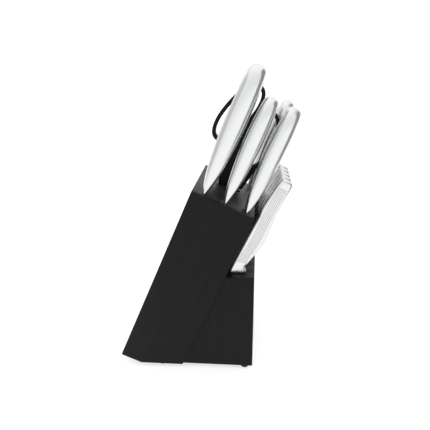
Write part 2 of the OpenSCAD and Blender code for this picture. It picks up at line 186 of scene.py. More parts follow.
class Graph:
    """A node tree under construction."""

    tree: bpy.types.NodeTree

    def node(self, kind: str, **settings: object) -> bpy.types.Node:
        """Adds a node and sets its properties.

        Args:
            kind: Blender's node type.
            **settings: Properties to set on the node.

        Returns:
            The new node.
        """
        made = self.tree.nodes.new(kind)
        for name, value in settings.items():
            setattr(made, name, value)
        return made

    def link(self, source: bpy.types.NodeSocket, target: bpy.types.NodeSocket) -> None:
        """Joins two sockets."""
        self.tree.links.new(source, target)

    def math(self, operation: str, first: bpy.types.NodeSocket, second: object) -> bpy.types.NodeSocket:
        """Adds a Math node.

        Args:
            operation: Blender's operation name.
            first: A socket.
            second: A socket or a number.

        Returns:
            The node's output.
        """
        made = self.node("ShaderNodeMath", operation=operation)
        self.link(first, made.inputs[0])
        if isinstance(second, bpy.types.NodeSocket):
            self.link(second, made.inputs[1])
        else:
            made.inputs[1].default_value = second
        return made.outputs[0]


class ShaderGroup(Graph):
    """A shader node group with named sockets, built once and shared by the materials."""

    def __init__(self, name: str, inputs: dict[str, float], outputs: tuple[str, ...]) -> None:
        """Starts a group that reads a vector.

        Args:
            name: Name of the group.
            inputs: Names and defaults of its number inputs.
            outputs: Names of its outputs.
        """
        self.tree = bpy.data.node_groups.new(name, "ShaderNodeTree")
        sockets = self.tree.interface
        sockets.new_socket("Vector", in_out="INPUT", socket_type="NodeSocketVector")
        for title, value in inputs.items():
            sockets.new_socket(title, in_out="INPUT", socket_type="NodeSocketFloat").default_value = value
        for title in outputs:
            sockets.new_socket(title, in_out="OUTPUT", socket_type="NodeSocketFloat")
        self.entry = self.node("NodeGroupInput").outputs
        self.results = self.node("NodeGroupOutput").inputs

    def noise(
        self, vector: bpy.types.NodeSocket, scale: float, detail: float, roughness: float
    ) -> bpy.types.NodeSocket:
        """Adds a noise texture.

        Args:
            vector: Where the noise is read.
            scale: Scale of the noise.
            detail: Octaves of detail.
            roughness: Share of each finer octave.

        Returns:
            The noise value.
        """
        made = self.node("ShaderNodeTexNoise")
        made.inputs["Scale"].default_value = scale
        made.inputs["Detail"].default_value = detail
        made.inputs["Roughness"].default_value = roughness
        self.link(vector, made.inputs["Vector"])
        return made.outputs[0]

    def ramp(self, value: bpy.types.NodeSocket, low: float, high: float) -> bpy.types.NodeSocket:
        """Maps a value from low..high to 0..1, clamped.

        Args:
            value: The value to map.
            low: The value that becomes 0.
            high: The value that becomes 1.

        Returns:
            The mapped value.
        """
        made = self.node("ShaderNodeMapRange")
        made.inputs["From Min"].default_value = low
        made.inputs["From Max"].default_value = high
        self.link(value, made.inputs["Value"])
        return made.outputs[0]


def stretched_grain_group() -> bpy.types.NodeTree:
    """Streaks stretched along local Z, for wood grain and for brushed steel.

    Returns:
        A group that puts out a coarse and a fine streak value.
    """
    group = ShaderGroup("stretched_grain", {"Stretch": 0.05, "Scale": 400.0}, ("Coarse", "Fine"))
    squash = group.node("ShaderNodeVectorMath", operation="MULTIPLY")
    factors = group.node("ShaderNodeCombineXYZ")
    scale = group.entry["Scale"]
    group.link(scale, factors.inputs[0])
    group.link(scale, factors.inputs[1])
    group.link(group.math("MULTIPLY", scale, group.entry["Stretch"]), factors.inputs[2])
    group.link(group.entry["Vector"], squash.inputs[0])
    group.link(factors.outputs[0], squash.inputs[1])
    group.link(group.noise(squash.outputs[0], 1.0, 3.0, 0.55), group.results["Coarse"])
    group.link(group.noise(squash.outputs[0], 6.0, 4.0, 0.7), group.results["Fine"])
    return group.tree


def handling_group() -> bpy.types.NodeTree:
    """Soft smudges and faint dust that every handled surface has.

    Returns:
        A group that puts out a broad smudge mask and a speckle mask.
    """
    group = ShaderGroup("handling", {"Smudge Scale": 24.0}, ("Smudge", "Speckle"))
    scaled = group.node("ShaderNodeVectorMath", operation="SCALE")
    group.link(group.entry["Vector"], scaled.inputs[0])
    group.link(group.entry["Smudge Scale"], scaled.inputs["Scale"])
    broad = group.noise(scaled.outputs[0], 1.0, 4.0, 0.6)
    dust = group.noise(scaled.outputs[0], 60.0, 2.0, 0.5)
    group.link(group.ramp(broad, 0.35, 0.7), group.results["Smudge"])
    group.link(group.ramp(dust, 0.62, 0.75), group.results["Speckle"])
    return group.tree


GRAIN = stretched_grain_group()
HANDLING = handling_group()


class Finish(Graph):
    """A material under construction: one Principled shader fed by the shared groups."""

    def __init__(self, name: str, metallic: float = 0.0, specular: float = 0.5, turn: float = 0.0) -> None:
        """Starts the material.

        Args:
            name: Name of the material.
            metallic: Metallic value of the shader.
            specular: Specular IOR level of the shader.
            turn: Angle about Y that brings the pattern's Z axis along the piece, in radians.
        """
        self.material = bpy.data.materials.new(name)
        self.material.use_nodes = True
        self.tree = self.material.node_tree
        self.shader = next(n for n in self.tree.nodes if n.type == "BSDF_PRINCIPLED")
        self.shader.inputs["Metallic"].default_value = metallic
        self.shader.inputs["Specular IOR Level"].default_value = specular
        places = self.node("ShaderNodeTexCoord")
        mapping = self.node("ShaderNodeMapping")
        mapping.inputs["Rotation"].default_value = (0, -turn, 0)
        self.link(places.outputs["Object"], mapping.inputs["Vector"])
        self.vector = mapping.outputs["Vector"]

    def group(self, tree: bpy.types.NodeTree, **values: float) -> bpy.types.Node:
        """Places a shared group and sets its inputs.

        Args:
            tree: The group.
            **values: Inputs, with spaces written as underscores.

        Returns:
            The group node.
        """
        made = self.node("ShaderNodeGroup")
        made.node_tree = tree
        self.link(self.vector, made.inputs["Vector"])
        for name, value in values.items():
            made.inputs[name.replace("_", " ")].default_value = value
        return made

    def mix(self, factor: bpy.types.NodeSocket, first: object, second: object) -> bpy.types.NodeSocket:
        """Mixes two colours.

        Args:
            factor: The mix factor.
            first: A Tone or a colour socket, at factor 0.
            second: A Tone or a colour socket, at factor 1.

        Returns:
            The mixed colour.
        """
        made = self.node("ShaderNodeMix", data_type="RGBA")
        self.link(factor, made.inputs["Factor"])
        for name, value in (("A", first), ("B", second)):
            target = next(s for s in made.inputs if s.name == name and s.type == "RGBA")
            if isinstance(value, Tone):
                target.default_value = (*value.value, 1)
            else:
                self.link(value, target)
        return next(s for s in made.outputs if s.type == "RGBA")

    def spread(self, value: bpy.types.NodeSocket, low: float, high: float) -> bpy.types.NodeSocket:
        """Maps 0..1 to low..high.

        Args:
            value: The value to map.
            low: Result at 0.
            high: Result at 1.

        Returns:
            The mapped value.
        """
        made = self.node("ShaderNodeMapRange")
        made.inputs["To Min"].default_value = low
        made.inputs["To Max"].default_value = high
        self.link(value, made.inputs["Value"])
        return made.outputs[0]

    def color(self, value: bpy.types.NodeSocket) -> None:
        """Feeds the base colour."""
        self.link(value, self.shader.inputs["Base Color"])

    def roughness(self, value: bpy.types.NodeSocket) -> None:
        """Feeds the roughness."""
        self.link(value, self.shader.inputs["Roughness"])

    def bump(self, height: bpy.types.NodeSocket, distance: float, strength: float) -> None:
        """Adds a bump, on top of the one before it.

        Args:
            height: The height pattern.
            distance: Height of the pattern, in metres.
            strength: Strength of the bump.
        """
        made = self.node("ShaderNodeBump")
        made.inputs["Distance"].default_value = distance
        made.inputs["Strength"].default_value = strength
        self.link(height, made.inputs["Height"])
        before = self.shader.inputs["Normal"]
        if before.is_linked:
            self.link(before.links[0].from_socket, made.inputs["Normal"])
        self.link(made.outputs["Normal"], before)


@dataclass(frozen=True)
class StainedWood:
    """Black stained wood with a satin lacquer, its grain along the board."""

    name: str
    turn: float
    dark: Tone = Tone.STAIN_DARK
    light: Tone = Tone.STAIN_LIGHT
    specular: float = 0.12

    def build(self) -> bpy.types.Material:
        """Makes the material.

        Returns:
            The finished material.
        """
        finish = Finish(self.name, specular=self.specular, turn=self.turn)
        grain = finish.group(GRAIN, Scale=420.0, Stretch=0.035)
        marks = finish.group(HANDLING, Smudge_Scale=16.0)
        tone = finish.mix(grain.outputs["Coarse"], self.dark, self.light)
        finish.color(finish.mix(finish.spread(marks.outputs["Speckle"], 0.0, 0.25), tone, self.light))
        finish.roughness(finish.spread(marks.outputs["Smudge"], 0.42, 0.5))
        finish.bump(grain.outputs["Fine"], 0.00006, 0.35)
        finish.bump(grain.outputs["Coarse"], 0.0001, 0.2)
        return finish.material


@dataclass(frozen=True)
class SatinSteel:
    """Satin steel of the grips and blades, brushed along or across the piece."""

    name: str
    bright: Tone
    shade: Tone
    turn: float
    low: float
    high: float

    def build(self) -> bpy.types.Material:
        """Makes the material.

        Returns:
            The finished material.
        """
        finish = Finish(self.name, metallic=1.0, turn=self.turn)
        grain = finish.group(GRAIN, Scale=2600.0, Stretch=0.02)
        marks = finish.group(HANDLING, Smudge_Scale=30.0)
        tone = finish.mix(grain.outputs["Coarse"], self.shade, self.bright)
        finish.color(tone)
        finish.roughness(finish.spread(marks.outputs["Smudge"], self.low, self.high))
        finish.bump(grain.outputs["Fine"], 0.00001, 0.25)
        return finish.material


@dataclass(frozen=True)
class FinePlastic:
    """Moulded black plastic or rubber with a fine matte texture."""

    name: str
    base: Tone
    worn: Tone
    low: float
    high: float
    specular: float

    def build(self) -> bpy.types.Material:
        """Makes the material.

        Returns:
            The finished material.
        """
        finish = Finish(self.name, specular=self.specular)
        grain = finish.group(GRAIN, Scale=2400.0, Stretch=1.0)
        marks = finish.group(HANDLING, Smudge_Scale=40.0)
        finish.color(finish.mix(finish.spread(marks.outputs["Speckle"], 0.0, 0.6), self.base, self.worn))
        finish.roughness(finish.spread(marks.outputs["Smudge"], self.low, self.high))
        finish.bump(grain.outputs["Fine"], 0.00003, 0.3)
        return finish.material


class Finishes:
    """Every finish of the object, built once."""

    def __init__(self) -> None:
        """Builds the materials."""
        tilt = PLACES.tilt
        self.panel = StainedWood("black_stained_panel", tilt).build()
        self.core = StainedWood("black_stained_core", tilt, specular=0.5).build()
        self.wedge = StainedWood("black_stained_wedge", 0.0).build()
        level = tilt + math.pi / 2
        self.dowel = StainedWood("bare_beech", level, Tone.BEECH_DARK, Tone.BEECH_LIGHT, 0.4).build()
        self.grip = SatinSteel("satin_grip_steel", Tone.STEEL, Tone.STEEL_SHADE, tilt, 0.20, 0.28).build()
        self.dimple = SatinSteel("dimple_steel", Tone.DIMPLE, Tone.DIMPLE_SHADE, tilt, 0.3, 0.4).build()
        self.blade = SatinSteel("ground_blade_steel", Tone.BLADE, Tone.BLADE_SHADE, tilt, 0.16, 0.24).build()
        self.zinc = SatinSteel("turned_zinc_steel", Tone.ZINC, Tone.BLADE_SHADE, 0.0, 0.3, 0.4).build()
        self.plastic = FinePlastic(
            "matte_black_plastic", Tone.PLASTIC, Tone.PLASTIC_WORN, 0.34, 0.46, 0.14
        ).build()
        self.rubber = FinePlastic("black_rubber", Tone.RUBBER, Tone.RUBBER_DUST, 0.6, 0.75, 0.3).build()


# ---------------------------------------------------------------- mesh tools


def link_piece(
    name: str, mesh: bpy.types.Mesh, material: bpy.types.Material | None = None
) -> bpy.types.Object:
    """Puts a mesh into the scene as a piece at the origin.

    Args:
        name: Name of the piece.
        mesh: Its mesh, in the row frame.
        material: Its finish.

    Returns:
        The new object.
    """
    piece = bpy.data.objects.new(name, mesh)
    bpy.context.scene.collection.objects.link(piece)
    if material is not None:
        mesh.materials.clear()
        mesh.materials.append(material)
    return piece


def mesh_from(name: str, points: np.ndarray, faces: list[tuple[int, ...]], place: Matrix) -> bpy.types.Mesh:
    """Makes a smooth shaded mesh from points in a local frame.

    Args:
        name: Name of the mesh.
        points: Points in the local frame, one row each.
        faces: Faces as point numbers.
        place: Matrix from the local frame to the row frame.

    Returns:
        The mesh, in the row frame.
    """
    mesh = bpy.data.meshes.new(name)
    mesh.from_pydata(points.tolist(), [], faces)
    mesh.transform(place)
    mesh.update()
    mesh.shade_smooth()
    return mesh


def recalculate(mesh: bpy.types.Mesh, merge: float = 0.0) -> None:
    """Merges doubled points and turns every face outwards.

    Args:
        mesh: The mesh to mend.
        merge: Distance below which points are merged, in metres.
    """
    work = bmesh.new()
    work.from_mesh(mesh)
    if merge:
        bmesh.ops.remove_doubles(work, verts=work.verts, dist=merge)
        bmesh.ops.dissolve_degenerate(work, dist=merge / 2, edges=work.edges)
    bmesh.ops.recalc_face_normals(work, faces=work.faces)
    work.to_mesh(mesh)
    work.free()


def bake_modifiers(piece: bpy.types.Object) -> None:
    """Turns the evaluated object into its plain mesh and removes its modifiers."""
    bpy.context.view_layer.update()
    evaluated = piece.evaluated_get(bpy.context.evaluated_depsgraph_get())
    mesh = bpy.data.meshes.new_from_object(evaluated)
    materials = list(piece.data.materials)
    piece.modifiers.clear()
    piece.data = mesh
    if not mesh.materials:
        for material in materials:
            mesh.materials.append(material)


def welded_solid(node: str) -> bmesh.types.BMesh:
    """Copies a CAD solid with its points merged and its flat faces whole.

    Args:
        node: Name of the CAD node.

    Returns:
        The copy, which the caller frees.
    """
    work = bmesh.new()
    work.from_mesh(frame["nodes"][node].data)
    bmesh.ops.remove_doubles(work, verts=work.verts, dist=MERGE)
    bmesh.ops.dissolve_limit(work, angle_limit=math.radians(1.0), verts=work.verts, edges=work.edges)
    return work


def into_mesh(work: bmesh.types.BMesh, name: str) -> bpy.types.Mesh:
    """Writes a work mesh into a new one and frees it.

    Args:
        work: The work mesh.
        name: Name of the new mesh.

    Returns:
        The new mesh.
    """
    mesh = bpy.data.meshes.new(name)
    work.to_mesh(mesh)
    work.free()
    return mesh


def ease_edges(
    piece: bpy.types.Object, width_mm: float, segments: int, sharpest: float | None = None
) -> None:
    """Rounds a piece's edges and leaves it a plain mesh.

    Args:
        piece: The piece.
        width_mm: Width of the bevel, in millimetres.
        segments: Its number of segments.
        sharpest: Angle above which an edge is rounded, in degrees, or None to go by the edges' weights.
    """
    bevel = piece.modifiers.new("eased", "BEVEL")
    bevel.width = width_mm * MM
    bevel.segments = segments
    bevel.harden_normals = True
    if sharpest is None:
        bevel.limit_method = "WEIGHT"
    else:
        bevel.angle_limit = math.radians(sharpest)
    bake_modifiers(piece)


def through_keys(place: float, keys: tuple[Key, ...]) -> float:
    """Smooth curve through keys, without flat spots at them.

    Args:
        place: Where to read the curve.
        keys: Places and values, in order.

    Returns:
        The curve's value.
    """
    xs = [k[0] for k in keys]
    ys = [k[1] for k in keys]
    slopes = [(ys[min(i + 1, len(ys) - 1)] - ys[max(i - 1, 0)])
              / (xs[min(i + 1, len(xs) - 1)] - xs[max(i - 1, 0)]) for i in range(len(xs))]
    i = min(max(sum(x <= place for x in xs) - 1, 0), len(xs) - 2)
    span = xs[i + 1] - xs[i]
    t = (place - xs[i]) / span
    return (
        (2 * t**3 - 3 * t**2 + 1) * ys[i] + (t**3 - 2 * t**2 + t) * span * slopes[i]
        + (3 * t**2 - 2 * t**3) * ys[i + 1] + (t**3 - t**2) * span * slopes[i + 1]
    )


def hand_over(piece: bpy.types.Object, body: str, slot: str, *nodes: str) -> None:
    """Args:
        piece: The piece.
        body: The body that it moves with.
        slot: The record's material slot; not used.
        *nodes: The CAD nodes that it stands for.
    """
    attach(piece, body)
    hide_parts(*nodes)
    LOG.info("%s rides on %s, %d faces", piece.name, body, len(piece.data.polygons))


# ---------------------------------------------------------------- block


@dataclass(frozen=True)
class Face:
    """An outer face of a whole block: a point on it and its outward direction, in metres."""

    point: Vector
    out: Vector

    def holds(self, face: bmesh.types.BMFace) -> bool:
        """True if a board's face lies in this outer face."""
        near = abs((face.calc_center_median() - self.point).dot(self.out)) < 0.00005
        return near and face.normal.dot(self.out) > 0.999


@dataclass
class BoardStack:
    """Boards glued into one block, sanded round along the block's own edges."""

    outer: list[Face]
    nodes: list[str]
    slot: str
    material: bpy.types.Material
    round_mm: float = 1.1
    seam_mm: float = 0.2
    sharpest: float = 20.0

    def board(self, node: str) -> bpy.types.Object:
        """Makes one board from its CAD solid, with eased edges.

        Args:
            node: Name of the CAD node.

        Returns:
            The finished board.
        """
        work = welded_solid(node)
        work.normal_update()
        weight = work.edges.layers.float.new("bevel_weight_edge")
        for edge in work.edges:
            if len(edge.link_faces) == 2 and edge.calc_face_angle() > math.radians(self.sharpest):
                shown = sum(any(side.holds(face) for side in self.outer) for face in edge.link_faces)
                edge[weight] = (0.0, self.seam_mm / self.round_mm, 1.0)[shown]
        mesh = into_mesh(work, node + "_eased")
        mesh.shade_smooth()
        piece = link_piece(node + "_board", mesh, self.material)
        ease_edges(piece, self.round_mm, 3)
        return piece

    def build(self) -> None:
        """Makes and hands over every board."""
        for node in self.nodes:
            hand_over(self.board(node), "block", self.slot, node)


@dataclass
class KnifeBlock:
    """The leaning main block, its front wedge, dowels, feet and screws."""

    finishes: Finishes
    core: list[str] = field(default_factory=lambda: [
        "near_back_board", "near_middle_board_1", "near_middle_board_2", "near_front_board",
        "near_slot_spacers",
        "shears_near_board", "shears_far_board", "shears_slot_spacers",
        "far_back_board", "far_front_board", "far_slot_spacer",
    ])
    wedge: list[str] = field(default_factory=lambda: [
        "wedge_near_cheek", "wedge_far_cheek", "wedge_slot_spacers",
        *(f"wedge_divider_{i}" for i in range(1, PLACES.steak_slots)),
    ])
    foot_profile: tuple[Key, ...] = (
        (1.35, 1.0), (4.05, 1.0), (4.5, 0.86), (4.5, 0.4), (4.3, 0.1), (3.9, 0.0),
        (3.2, 0.0), (2.75, 0.12), (2.6, 0.3), (2.6, 0.5), (1.35, 0.5),
    )
    foot_sides: int = 48

    def main_faces(self) -> list[Face]:
        """Outer faces of the leaning main block."""
        lean = PLACES.lean
        turn = lean.to_3x3().normalized()
        low, high = PLACES.corner, Vector(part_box("side_panel_far")[1])
        leaning = (((0, 0, 0), (-1, 0, 0)), ((PLACES.block_t, 0, 0), (1, 0, 0)),
                   ((0, 0, PLACES.block_l), (0, 0, 1)), ((0, 0, 0), (0, 0, -1)))
        plain = ((low, (0, -1, 0)), (high, (0, 1, 0)), (low, (0, 0, -1)))
        return [Face(lean @ Vector(point), turn @ Vector(out)) for point, out in leaning] + [
            Face(point, Vector(out)) for point, out in plain]

    def wedge_faces(self) -> list[Face]:
        """Outer faces of the wedge."""
        low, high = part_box("wedge_near_cheek")[0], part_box("wedge_far_cheek")[1]
        sides = ((high, (1, 0, 0)), (high, (0, 0, 1)), (high, (0, 1, 0)),
                 (low, (0, -1, 0)), (low, (0, 0, -1)))
        return [Face(Vector(point), Vector(out)) for point, out in sides]

    def foot(self, node: str) -> bpy.types.Object:
        """Turns one rubber foot inside the box of its CAD solid.

        Args:
            node: Name of the foot's CAD node.

        Returns:
            The finished foot.
        """
        low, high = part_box(node)
        middle = (low + high) / 2
        height = (high.z - low.z) / MM
        points = [
            (r * math.cos(a), r * math.sin(a), h * height)
            for a in (2 * math.pi * i / self.foot_sides for i in range(self.foot_sides))
            for r, h in self.foot_profile
        ]
        place = Matrix.Translation((middle.x, middle.y, low.z)) @ Matrix.Scale(MM, 4)
        faces = ring_faces(self.foot_sides, len(self.foot_profile), True)
        mesh = mesh_from(node, np.array(points), faces, place)
        recalculate(mesh)
        mesh.set_sharp_from_angle(angle=math.radians(35))
        return link_piece(node + "_bumper", mesh, self.finishes.rubber)

    def build(self) -> None:
        """Makes, dresses and hands over everything that rides on the block."""
        panels = ["side_panel_near", "side_panel_far"]
        BoardStack(self.main_faces(), panels, "panel_wood", self.finishes.panel).build()
        BoardStack(self.main_faces(), self.core, "core_wood", self.finishes.core).build()
        BoardStack(self.wedge_faces(), self.wedge, "wedge_wood", self.finishes.wedge).build()
        for node in ("foot_back_near", "foot_back_far", "foot_front_near", "foot_front_far"):
            hand_over(self.foot(node), "block", "rubber", node)
        dress_node("wedge_dowels", self.finishes.dowel)
        dress_node("foot_screws", self.finishes.zinc)


def dress_node(node: str, material: bpy.types.Material) -> None:
    """Gives a CAD node that stays in view its finish.

    Args:
        node: Name of the node.
        material: Its finish.
    """
    piece = frame["nodes"][node]
    piece.data.materials.clear()
    piece.data.materials.append(material)
    LOG.info("%s keeps its solid and takes %s", node, material.name)


def ring_faces(rings: int, points: int, closed: bool) -> list[tuple[int, ...]]:
    """Faces between rings of points, each ring a closed loop.

    Args:
        rings: Number of rings.
        points: Points in each ring.
        closed: True where the last ring joins the first.

    Returns:
        The faces.
    """
    return [
        (i * points + j, i * points + (j + 1) % points,
         (i + 1) % rings * points + (j + 1) % points, (i + 1) % rings * points + j)
        for i in range(rings if closed else rings - 1)
        for j in range(points)
    ]


# ---------------------------------------------------------------- dimples


@dataclass
class Dimpling(Graph):
    """Geometry Nodes that set a shallow dish on every cell of a shell's dimple field."""

    material: bpy.types.Material
    radius_mm: float = 0.52
    stand_mm: float = 0.05
    sink_mm: float = 0.2
    sides: int = 9
    rim: float = 0.82
    bowl: float = 0.45
    tree: bpy.types.NodeTree = field(init=False)
    ids: dict[str, str] = field(init=False, default_factory=dict)

    def __post_init__(self) -> None:
        """Builds the node tree."""
        self.tree = bpy.data.node_groups.new("dimple_field", "GeometryNodeTree")
        sockets = self.tree.interface
        sockets.new_socket("Shell", in_out="INPUT", socket_type="NodeSocketGeometry")
        for name in ("Radius", "Stand", "Sink"):
            socket = sockets.new_socket(name, in_out="INPUT", socket_type="NodeSocketFloat")
            self.ids[name] = socket.identifier
        socket = sockets.new_socket("Finish", in_out="INPUT", socket_type="NodeSocketMaterial")
        self.ids["Finish"] = socket.identifier
        sockets.new_socket("Dimpled Shell", in_out="OUTPUT", socket_type="NodeSocketGeometry")
        entry, exit_ = self.node("NodeGroupInput"), self.node("NodeGroupOutput")
        cells = self.node("GeometryNodeInputNamedAttribute", data_type="BOOLEAN")
        cells.inputs["Name"].default_value = "field"
        normal = self.node("GeometryNodeInputNormal")
        keep = self.node("GeometryNodeCaptureAttribute", domain="FACE")
        keep.capture_items.new("VECTOR", "Out")
        self.link(entry.outputs["Shell"], keep.inputs["Geometry"])
        self.link(normal.outputs["Normal"], keep.inputs["Out"])
        spots = self.node("GeometryNodeMeshToPoints", mode="FACES")
        self.link(keep.outputs["Geometry"], spots.inputs["Mesh"])
        self.link(next(s for s in cells.outputs if s.enabled), spots.inputs["Selection"])
        upright = self.node("FunctionNodeAlignRotationToVector", axis="Z")
        self.link(keep.outputs["Out"], upright.inputs["Vector"])
        place = self.node("GeometryNodeInstanceOnPoints")
        self.link(spots.outputs["Points"], place.inputs["Points"])
        self.link(self.dish(entry), place.inputs["Instance"])
        self.link(upright.outputs["Rotation"], place.inputs["Rotation"])
        real = self.node("GeometryNodeRealizeInstances")
        self.link(place.outputs["Instances"], real.inputs["Geometry"])
        finish = self.node("GeometryNodeSetMaterial")
        self.link(real.outputs["Geometry"], finish.inputs["Geometry"])
        self.link(entry.outputs["Finish"], finish.inputs["Material"])
        join = self.node("GeometryNodeJoinGeometry")
        self.link(finish.outputs["Geometry"], join.inputs[0])
        self.link(entry.outputs["Shell"], join.inputs[0])
        self.link(join.outputs[0], exit_.inputs[0])

    def dish(self, entry: bpy.types.Node) -> bpy.types.NodeSocket:
        """One dish: a short closed plug whose top face is pressed in.

        Args:
            entry: The tree's input node.

        Returns:
            The dish's geometry.
        """
        plug = self.node("GeometryNodeMeshCylinder", fill_type="NGON")
        plug.inputs["Vertices"].default_value = self.sides
        self.link(entry.outputs["Radius"], plug.inputs["Radius"])
        self.link(self.math("ADD", entry.outputs["Stand"], entry.outputs["Sink"]), plug.inputs["Depth"])
        mesh, top = plug.outputs["Mesh"], plug.outputs["Top"]
        for share, depth in ((self.rim, 0.0), (self.bowl, -0.75)):
            pull = self.node("GeometryNodeExtrudeMesh", mode="FACES")
            self.link(mesh, pull.inputs["Mesh"])
            self.link(top, pull.inputs["Selection"])
            self.link(self.math("MULTIPLY", entry.outputs["Stand"], depth), pull.inputs["Offset Scale"])
            shrink = self.node("GeometryNodeScaleElements", domain="FACE")
            self.link(pull.outputs["Mesh"], shrink.inputs["Geometry"])
            self.link(pull.outputs["Top"], shrink.inputs["Selection"])
            shrink.inputs["Scale"].default_value = share
            mesh, top = shrink.outputs["Geometry"], pull.outputs["Top"]
        lift = self.node("GeometryNodeTransform")
        middle = self.node("ShaderNodeCombineXYZ")
        gap = self.math("SUBTRACT", entry.outputs["Stand"], entry.outputs["Sink"])
        self.link(self.math("MULTIPLY", gap, 0.5), middle.inputs["Z"])
        self.link(mesh, lift.inputs["Geometry"])
        self.link(middle.outputs[0], lift.inputs["Translation"])
        return lift.outputs["Geometry"]

    def press(self, shell: bpy.types.Object) -> None:
        """Presses the dimples into a shell and leaves it a plain mesh.

        Args:
            shell: The shell, with its field marked.
        """
        modifier = shell.modifiers.new("dimples", "NODES")
        modifier.node_group = self.tree
        modifier[self.ids["Radius"]] = self.radius_mm * MM
        modifier[self.ids["Stand"]] = self.stand_mm * MM
        modifier[self.ids["Sink"]] = self.sink_mm * MM
        modifier[self.ids["Finish"]] = self.material
        bake_modifiers(shell)
        mark = shell.data.attributes.get("field")
        if mark is not None:
            shell.data.attributes.remove(mark)


# ---------------------------------------------------------------- knives


@dataclass
class Grip:
    """A hollow steel grip in two welded half shells, in the knife's own frame.

    The frame's x is the thickness, y runs from the spine to the belly and z from the blade up.
    """

    length: float
    thick: float
    wall: float = 1.0
    end_wall: float = 2.5
    roundness: float = 2.8
    tang_slot: float = 1.2
    pitch: float = 1.7
    columns: int = 6
    field_low: float = 0.16
    field_high: float = 0.9
    field_width: float = 0.62
    corner_points: int = 11
    low_rings: int = 16
    high_rings: int = 22

    def spine(self, s: float) -> float:
        """Place of the spine line across the width at a share of the length."""
        raise NotImplementedError

    def belly(self, s: float) -> float:
        """Place of the belly line across the width at a share of the length."""
        raise NotImplementedError

    def half(self, s: float) -> float:
        """Half of the thickness at a share of the length."""
        raise NotImplementedError

    def narrowing(self, s: float) -> float:
        """Share of the width that is left where the end rounds off."""
        raise NotImplementedError

    def drop(self, s: float) -> float:
        """Slope of the lower end across the width at a share of the length."""
        return 0.0

    def ring_places(self) -> tuple[list[float], range]:
        """Where the rings stand along the grip, and which of them bound the dimple field.

        Returns:
            The rings' shares of the length, and the numbers of the field's lower rings.
        """
        rows = round((self.field_high - self.field_low) * self.length / self.pitch)
        low = [self.field_low * (i / self.low_rings) ** 2.2 for i in range(self.low_rings)]
        rest = 1 - self.field_high
        high = [1 - rest * (1 - i / self.high_rings) ** 2.6 for i in range(1, self.high_rings)]
        middle = [self.field_low + (self.field_high - self.field_low) * i / rows for i in range(rows + 1)]
        return low + middle + high + [0.99993], range(self.low_rings, self.low_rings + rows)

    def arc(self, half: float, width: float, middle: float, flat: float) -> list[Key]:
        """Half outline of a section, with even columns over the flat and close points at the corners.

        Args:
            half: Half of the thickness.
            width: Half of the width.
            middle: Place of the section's middle across the width.
            flat: Share of the half width that the dimple columns take.

        Returns:
            Points of thickness and place, from the spine to the belly.
        """
        power = self.roundness
        start = math.asin(flat ** (power / 2))
        turns = [start + (math.pi / 2 - start) * i / self.corner_points
                 for i in range(1, self.corner_points + 1)]
        corner = [(math.cos(t) ** (2 / power) if t < math.pi / 2 - 1e-9 else 0.0, math.sin(t) ** (2 / power))
                  for t in turns]
        across = [flat * (2 * k / self.columns - 1) for k in range(self.columns + 1)]
        level = [((1 - abs(e) ** power) ** (1 / power), e) for e in across]
        whole = [(x, -e) for x, e in reversed(corner)] + level + corner
        return [(half * x, middle + width * e) for x, e in whole]

    def half_shell(self, name: str, side: Side, place: Matrix, base: float) -> bpy.types.Mesh:
        """Lofts one half shell, closed all round, and marks its dimple field.

        Args:
            name: Name of the mesh.
            side: Which half it is.
            place: The knife's frame.
            base: Height of the grip's lower end above the knife's origin.

        Returns:
            The half shell's mesh.
        """
        places, field_rings = self.ring_places()
        points = []
        for s in places:
            middle = (self.spine(s) + self.belly(s)) / 2
            width = (self.belly(s) - self.spine(s)) / 2 * self.narrowing(s)
            half = self.half(s)
            flat = min(self.columns * self.pitch / 2 / width, self.field_width)
            inner_half = max(min(self.tang_slot, half - 0.6), half - self.wall if s > 0 else 0, 0.02)
            inner_width = max(width - (self.wall if s > 0 else self.wall + 0.6), 0.02)
            inner_z = min(s * self.length, self.length - self.end_wall)
            slope = self.drop(s)
            points += [(side.value * x, y, base + s * self.length + slope * y)
                       for x, y in self.arc(half, width, middle, flat)]
            points += [(side.value * x, y, base + inner_z + slope * y)
                       for x, y in reversed(self.arc(inner_half, inner_width, middle, flat))]
        arc = self.columns + 1 + 2 * self.corner_points
        loop = 2 * arc
        top = (len(places) - 1) * loop
        faces = ring_faces(len(places), loop, False)
        first = self.corner_points
        cells = {i * loop + j for i in field_rings for j in range(first, first + self.columns)}
        faces += [
            tuple(range(loop - 1, -1, -1)),
            tuple(range(top, top + arc)),
            tuple(range(top + arc, top + loop)),
            (top, top + loop - 1, top + arc, top + arc - 1),
        ]
        mesh = mesh_from(name, np.array(points), faces, place)
        mark = mesh.attributes.new("field", "BOOLEAN", "FACE")
        mark.data.foreach_set("value", [i in cells for i in range(len(faces))])
        recalculate(mesh)
        mesh.set_sharp_from_angle(angle=math.radians(38))
        return mesh


@dataclass
class LargeGrip(Grip):
    """Leaf shaped grip of a large knife, round at the end."""

    width: float = 25.0
    spine_lead: float = 1.75

    def spine(self, s: float) -> float:
        """Place of the spine line across the width at a share of the length."""
        return -self.spine_lead

    def belly(self, s: float) -> float:
        """Place of the belly line across the width at a share of the length."""
        w = self.width
        keys = ((0, w - 3), (0.14, w - 5), (0.45, w), (0.75, w - 1), (1, w - 2))
        return -self.spine_lead + through_keys(s, keys)

    def half(self, s: float) -> float:
        """Half of the thickness at a share of the length."""
        swell = through_keys(s, ((0, 0.16), (0.06, 0.4), (0.17, 0.66), (0.33, 0.85), (0.5, 0.98), (0.62, 1.0),
                                 (0.79, 0.95), (0.9, 0.86), (1, 0.74)))
        return max(self.thick / 2 * swell * math.sqrt(1 - s**60), 0.2)

    def narrowing(self, s: float) -> float:
        """Share of the width that is left where the end rounds off."""
        return max(0.05, math.sqrt(1 - s**14))


